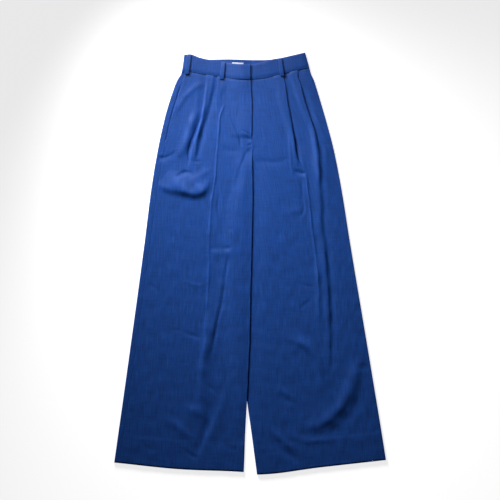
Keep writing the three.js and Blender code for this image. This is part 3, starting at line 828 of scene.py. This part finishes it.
# One sheet of cloth: a grid whose points are moved to x, down and z, with the walked distance as its map.
def clothGrid(name, x, down, z, thickness, finish, bevel):
    height, width = x.shape
    place = np.stack([x, body["length"] / 2 - down, z], axis=2) * toMetres
    walked = np.zeros((height, width))
    walked[:, 1:] = np.cumsum(np.linalg.norm(np.diff(place, axis=1), axis=2), axis=1)
    walked -= walked[:, width // 3][:, None]  # zero runs down one column, so the weave hangs straight
    bm = bmesh.new()
    bmesh.ops.create_grid(bm, x_segments=width - 1, y_segments=height - 1, size=1)
    uv = bm.loops.layers.uv.new("cloth")
    cell = {}
    for v in bm.verts:
        i, j = round((1 - v.co.y) / 2 * (height - 1)), round((v.co.x + 1) / 2 * (width - 1))
        cell[v] = (i, j)
        v.co = place[i, j]
    for face in bm.faces:
        face.smooth = True
        for corner in face.loops:
            i, j = cell[corner.vert]
            corner[uv].uv = (walked[i, j], place[i, j, 1])
    mesh = bpy.data.meshes.new(name)
    bm.to_mesh(mesh)
    bm.free()
    piece = bpy.data.objects.new(name, mesh)
    bpy.context.collection.objects.link(piece)
    mesh.materials.append(finish)
    solid = piece.modifiers.new("thickness", "SOLIDIFY")
    solid.thickness = thickness * toMetres
    solid.offset = 0
    if bevel:
        edge = piece.modifiers.new("edge", "BEVEL")
        edge.width = bevel * toMetres
        edge.segments = edgeRound["segments"]
        edge.limit_method = "ANGLE"
        edge.angle_limit = math.radians(edgeRound["sharper"])
    return piece


# The part of the weave that both finishes share: slubs along and across, and the thread's own relief.
slubs = {
    "warp": 1.3, "weft": 0.7, "thread": 0.25, "detail": 3, "roughness": 0.6, "warpSeed": 3, "weftSeed": 11,
}


def makeWeaveGroup():
    group = bpy.data.node_groups.new("suitingWeave", "ShaderNodeTree")
    group.interface.new_socket("Cloth", in_out="INPUT", socket_type="NodeSocketVector")
    for name in ("Slub Width", "Slub Length", "Threads"):
        group.interface.new_socket(name, in_out="INPUT", socket_type="NodeSocketFloat")
    for name in ("Shade", "Height"):
        group.interface.new_socket(name, in_out="OUTPUT", socket_type="NodeSocketFloat")
    nodes, links = group.nodes, group.links
    given, put = nodes.new("NodeGroupInput"), nodes.new("NodeGroupOutput")
    split = nodes.new("ShaderNodeSeparateXYZ")
    links.new(given.outputs["Cloth"], split.inputs[0])

    def combine(kind, a, b):
        node = nodes.new("ShaderNodeMath")
        node.operation = kind
        for socket, value in zip(node.inputs, (a, b)):
            if isinstance(value, (int, float)):
                socket.default_value = value
            else:
                links.new(value, socket)
        return node.outputs[0]

    def streak(across, along, seed):
        join = nodes.new("ShaderNodeCombineXYZ")
        links.new(combine("DIVIDE", across, given.outputs["Slub Width"]), join.inputs[0])
        links.new(combine("DIVIDE", along, given.outputs["Slub Length"]), join.inputs[1])
        join.inputs[2].default_value = seed
        noise = nodes.new("ShaderNodeTexNoise")
        noise.inputs["Scale"].default_value = 1
        noise.inputs["Detail"].default_value = slubs["detail"]
        noise.inputs["Roughness"].default_value = slubs["roughness"]
        links.new(join.outputs[0], noise.inputs["Vector"])
        return noise.outputs["Fac"]

    u, v = split.outputs[0], split.outputs[1]
    warp = combine("MULTIPLY", streak(u, v, slubs["warpSeed"]), slubs["warp"])
    weft = combine("MULTIPLY", streak(v, u, slubs["weftSeed"]), slubs["weft"])
    both = combine("ADD", warp, weft)
    links.new(both, put.inputs["Shade"])
    waveU, waveV = (combine("SINE", combine("MULTIPLY", way, given.outputs["Threads"]), 0) for way in (u, v))
    weave = combine("MULTIPLY", combine("MULTIPLY", waveU, waveV), slubs["thread"])
    links.new(combine("ADD", both, weave), put.inputs["Height"])
    return group


weaveGroup = makeWeaveGroup()
suitingLook = {
    "tone": (0.0077, 0.077, 0.385), "contrast": 0.3, "slubWidth": 2.5, "slubLength": 46, "thread": 0.9,
    "bump": 0.35, "roughness": 0.47, "sheen": 0,
}
tapeLook = {
    "tone": (0.8, 0.8, 0.78), "contrast": 0.04, "slubWidth": 0.8, "slubLength": 9, "thread": 0.6,
    "bump": 0.3, "roughness": 0.7, "sheen": 0.1,
}
clothLook = {"bumpDepth": 0.3, "specular": 0.62, "sheenRoughness": 0.45, "sheenTint": (0.55, 0.7, 1)}
shadeRange = (0.7, 1.3)  # of the slubs' noise


def clothFinish(name, look):
    material = bpy.data.materials.new(name)
    material.use_nodes = True
    nodes, links = material.node_tree.nodes, material.node_tree.links
    shader = nodes["Principled BSDF"]
    spot = nodes.new("ShaderNodeUVMap")
    spot.uv_map = "cloth"
    weave = nodes.new("ShaderNodeGroup")
    weave.node_tree = weaveGroup
    links.new(spot.outputs[0], weave.inputs["Cloth"])
    weave.inputs["Slub Width"].default_value = look["slubWidth"] * toMetres
    weave.inputs["Slub Length"].default_value = look["slubLength"] * toMetres
    weave.inputs["Threads"].default_value = 2 * math.pi / (look["thread"] * toMetres)
    ramp = nodes.new("ShaderNodeMapRange")
    ramp.inputs["From Min"].default_value, ramp.inputs["From Max"].default_value = shadeRange
    links.new(weave.outputs["Shade"], ramp.inputs["Value"])
    colour = nodes.new("ShaderNodeMix")
    colour.data_type = "RGBA"
    for socket, share in (("A", 1 - look["contrast"]), ("B", 1 + look["contrast"])):
        colour.inputs[socket].default_value = (*[c * share for c in look["tone"]], 1)
    links.new(ramp.outputs[0], colour.inputs["Factor"])
    links.new(colour.outputs["Result"], shader.inputs["Base Color"])
    bump = nodes.new("ShaderNodeBump")
    bump.inputs["Strength"].default_value = look["bump"]
    bump.inputs["Distance"].default_value = clothLook["bumpDepth"] * toMetres
    links.new(weave.outputs["Height"], bump.inputs["Height"])
    links.new(bump.outputs[0], shader.inputs["Normal"])
    shader.inputs["Roughness"].default_value = look["roughness"]
    shader.inputs["Specular IOR Level"].default_value = clothLook["specular"]
    shader.inputs["Sheen Weight"].default_value = look["sheen"]
    shader.inputs["Sheen Roughness"].default_value = clothLook["sheenRoughness"]
    shader.inputs["Sheen Tint"].default_value = (*clothLook["sheenTint"], 1)
    return material


suiting = clothFinish("blue suiting", suitingLook)
whiteTape = clothFinish("white woven tape", tapeLook)
print("finishes made")


def addPiece(node, shape, thickness, bevel=0.0, finish=suiting):
    name = node + "_cloth"
    piece = clothGrid(name, *shape, thickness, finish, bevel)
    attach(piece, "root")
    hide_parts(node)


addPiece("front_right", frontPanel(right), body["cloth"])
addPiece("front_left", frontPanel(left), body["cloth"])
addPiece("back_right", backPanel(right), body["cloth"])
addPiece("back_left", backPanel(left), body["cloth"])
print("panels laid")

# The waistband's three pieces. They run flat, and two of them turn round an outer fold.
band = {
    "wall": 2.2, "edge": 1.2, "backLevel": 1.2, "frontLevel": 4.9, "bevel": 0.7, "clear": 0.05,
    "lapLift": 3.5, "lapStart": -62, "lapFull": -12, "end": 1, "underEnd": -10,
    "rows": 17, "nominalTop": 10, "nominalFoot": 55,
    "topRoll": 0.45, "topShare": 0.05, "footRoll": 1.1, "footShare": 0.13,
    "belly": 0.15, "bellyLength": 17, "ripple": 0.108, "rippleLength": 7.3,
}
bandBend = (band["frontLevel"] - band["backLevel"]) / 2
bandInset = bandBend + band["edge"]


def bandTurn(side):
    return halfTurn(side, band["frontLevel"], bandBend, bandInset)


def flatRun(first, last, level):
    def shape(down, share):
        x = mix(first(down), last(down), share)
        return x, level + 0 * x, 1 + 0 * x

    return shape


# The right front's band rises towards its end, to lie over the left one.
def lapRun(down, share):
    x = mix(topSeam(down) + body["gap"] / 2, band["end"] + 0 * down, share)
    return x, band["frontLevel"] + band["lapLift"] * ease(band["lapStart"], band["lapFull"], x), 1 + 0 * x


def rightTurn(down):
    return sides["right"](down) + bandInset


def leftTurn(down):
    return sides["left"](down) - bandInset


# Number of columns and shape of each stretch.
bandPieces = {
    "waistband_front_right": [(90, lapRun)],
    "waistband_front_left": [
        (80, flatRun(lambda down: band["underEnd"] + 0 * down, leftTurn, band["frontLevel"])),
        (12, bandTurn(left)),
        (10, flatRun(leftTurn, underSeam, band["backLevel"])),
    ],
    "waistband_back": [
        (6, flatRun(lambda down: topSeam(down) - body["gap"] / 2, rightTurn, band["frontLevel"])),
        (12, bandTurn(right)),
        (130, flatRun(rightTurn, lambda down: underSeam(down) - body["gap"], band["backLevel"])),
    ],
}


def bandShape(stretches, top, seam):
    share = np.linspace(0, 1, band["rows"])
    nominal = mix(band["nominalTop"], band["nominalFoot"], share)

    def downAt(row, x):
        part = (row - band["nominalTop"]) / (band["nominalFoot"] - band["nominalTop"])
        return mix(top(x), seam(x), part)

    x, down, z, soft = layOut(stretches, nominal, downAt)
    share = share[:, None] + 0 * x
    wave = band["belly"] * np.sin(x / band["bellyLength"]) * np.sin(math.pi * share)
    wave = wave + band["ripple"] * np.sin(x / band["rippleLength"] + 1)
    rolled = band["topRoll"] * np.exp(-((share / band["topShare"]) ** 2))
    rolled = rolled + band["footRoll"] * np.exp(-(((1 - share) / band["footShare"]) ** 2))
    z = z + soft * (wave - rolled)
    return x, down, np.maximum(z, band["wall"] / 2 + band["clear"]) + restLift(x, down)


for node, stretches in bandPieces.items():
    end = "back" if node == "waistband_back" else "front"
    shape = bandShape(stretches, waist[end + "Top"], waist[end + "Seam"])
    addPiece(node, shape, band["wall"], band["bevel"])
print("waistband made")

# A belt loop: a strip with soft edges, from the band's top to just below its seam.
loops = {
    "width": 11, "wall": 1.4, "thick": 1.6, "bevel": 0.5, "belowSeam": 5.5, "belowTop": 1,
    "rows": 30, "columns": 11, "arch": 0.9, "archEnds": 0.3, "crown": 0.28, "ends": 0.35, "endShare": 0.09,
    "clear": 0.1, "underCrown": 0.3,
}
loopOnTop = band["frontLevel"] + band["edge"] + body["gap"] + loops["wall"] / 2
# Each loop's x at its top and foot, and the band that it lies on.
loopPlaces = {
    "belt_loop_side_right": (-160.5, -167, "front"),
    "belt_loop_front_right": (-70, -75, "front"),
    "belt_loop_front_left": (79, 85, "front"),
    "belt_loop_side_left": (124, 137, "back"),
    "belt_loop_back": (-32.5, -31, "back"),
}


def bothEnds(run, share):
    return ease(0, run, share) * ease(0, run, 1 - share)


def loopShape(topX, footX, where):
    share = np.linspace(0, 1, loops["rows"])[:, None] + np.zeros((1, loops["columns"]))
    across = np.linspace(-1, 1, loops["columns"])[None, :] + 0 * share
    centre = mix(topX, footX, share)
    top = waist[where + "Top"](centre) + loops["belowTop"]
    down = mix(top, waist[where + "Seam"](centre) + loops["belowSeam"], share)
    x = centre + across * loops["width"] / 2
    ends = 1 - bothEnds(loops["endShare"], share)
    pillow = loops["crown"] * (1 - across**4) - loops["ends"] * ends
    if where == "back":
        return x, down, loops["thick"] / 2 + loops["clear"] - pillow * loops["underCrown"]
    arch = loops["arch"] * bothEnds(loops["archEnds"], share)
    return x, down, loopOnTop + arch + pillow + restLift(x, down)


for node, place in loopPlaces.items():
    addPiece(node, loopShape(*place), loops["thick"], loops["bevel"])

label = {
    "x1": -47.5, "x2": -17.5, "belowTop": 8, "height": 23, "wall": 0.5, "level": 3.0,
    "rows": 18, "columns": 24, "ripple": 0.05, "rippleLength": 9,
}


def labelShape():
    share = np.linspace(0, 1, label["rows"])[:, None]
    x = mix(label["x1"], label["x2"], np.linspace(0, 1, label["columns"])[None, :]) + 0 * share
    down = waist["backTop"](x) + label["belowTop"] + label["height"] * share
    ripple = label["ripple"] * np.sin(x / label["rippleLength"])
    return x, down, label["level"] + restLift(x, down) + ripple


addPiece("label_back", labelShape(), label["wall"], finish=whiteTape)
print("loops and label made")

# Floor, light and camera
stage = {"metres": 12, "albedo": 0.9, "roughness": 0.9, "glow": 0.8}
view = {"x": -0.2, "y": 35.7, "frame": 1322.5, "height": 4600, "sensor": 36, "farthest": 50000}
keyLight = {
    "x": -500, "y": 1015, "z": 430, "size": 420, "power": 15.8, "heading": -61, "tilt": -9, "spread": 100,
}
topLight = {
    "x": -120, "y": 800, "z": 560, "size": 300, "power": 0.15, "heading": -78, "tilt": 50, "spread": 75,
}
skyGlow = 0.012


def makeFloor():
    bm = bmesh.new()
    bmesh.ops.create_grid(bm, x_segments=1, y_segments=1, size=stage["metres"] / 2)
    mesh = bpy.data.meshes.new("floor")
    bm.to_mesh(mesh)
    bm.free()
    floor = bpy.data.objects.new("floor", mesh)
    bpy.context.collection.objects.link(floor)
    material = bpy.data.materials.new("pale floor")
    material.use_nodes = True
    shader = material.node_tree.nodes["Principled BSDF"]
    shader.inputs["Base Color"].default_value = (stage["albedo"],) * 3 + (1,)
    shader.inputs["Roughness"].default_value = stage["roughness"]
    shader.inputs["Emission Color"].default_value = (1, 1, 1, 1)
    shader.inputs["Emission Strength"].default_value = stage["glow"]
    mesh.materials.append(material)


def makeLamp(name, given):
    lamp = bpy.data.lights.new(name, "AREA")
    lamp.shape = "DISK"
    lamp.size = given["size"] * toMetres
    lamp.energy = given["power"]
    lamp.spread = math.radians(given["spread"])
    light = bpy.data.objects.new(name, lamp)
    light.location = Vector((given["x"], given["y"], given["z"])) * toMetres
    turn, tilt = math.radians(given["heading"]), math.radians(given["tilt"])
    aim = Vector((math.cos(turn) * math.cos(tilt), math.sin(turn) * math.cos(tilt), -math.sin(tilt)))
    light.rotation_euler = aim.to_track_quat("-Z", "Y").to_euler()
    light.visible_camera = False
    bpy.context.collection.objects.link(light)


def makeSky():
    world = bpy.data.worlds.new("studio")
    world.use_nodes = True
    world.node_tree.nodes["Background"].inputs["Color"].default_value = (1, 1, 1, 1)
    world.node_tree.nodes["Background"].inputs["Strength"].default_value = skyGlow
    bpy.context.scene.world = world


def makeCamera():
    data = bpy.data.cameras.new("overhead")
    data.sensor_width = view["sensor"]
    data.lens = view["sensor"] * view["height"] / view["frame"]
    data.clip_end = view["farthest"] * toMetres
    camera = bpy.data.objects.new("overhead", data)
    camera.location = Vector((view["x"], view["y"], view["height"])) * toMetres
    bpy.context.collection.objects.link(camera)
    bpy.context.scene.camera = camera


makeFloor()
makeLamp("key", keyLight)
makeLamp("top", topLight)
makeSky()
makeCamera()
bpy.context.scene.view_settings.view_transform = "Standard"
print("stage, light and camera set")

bpy.context.view_layer.update()
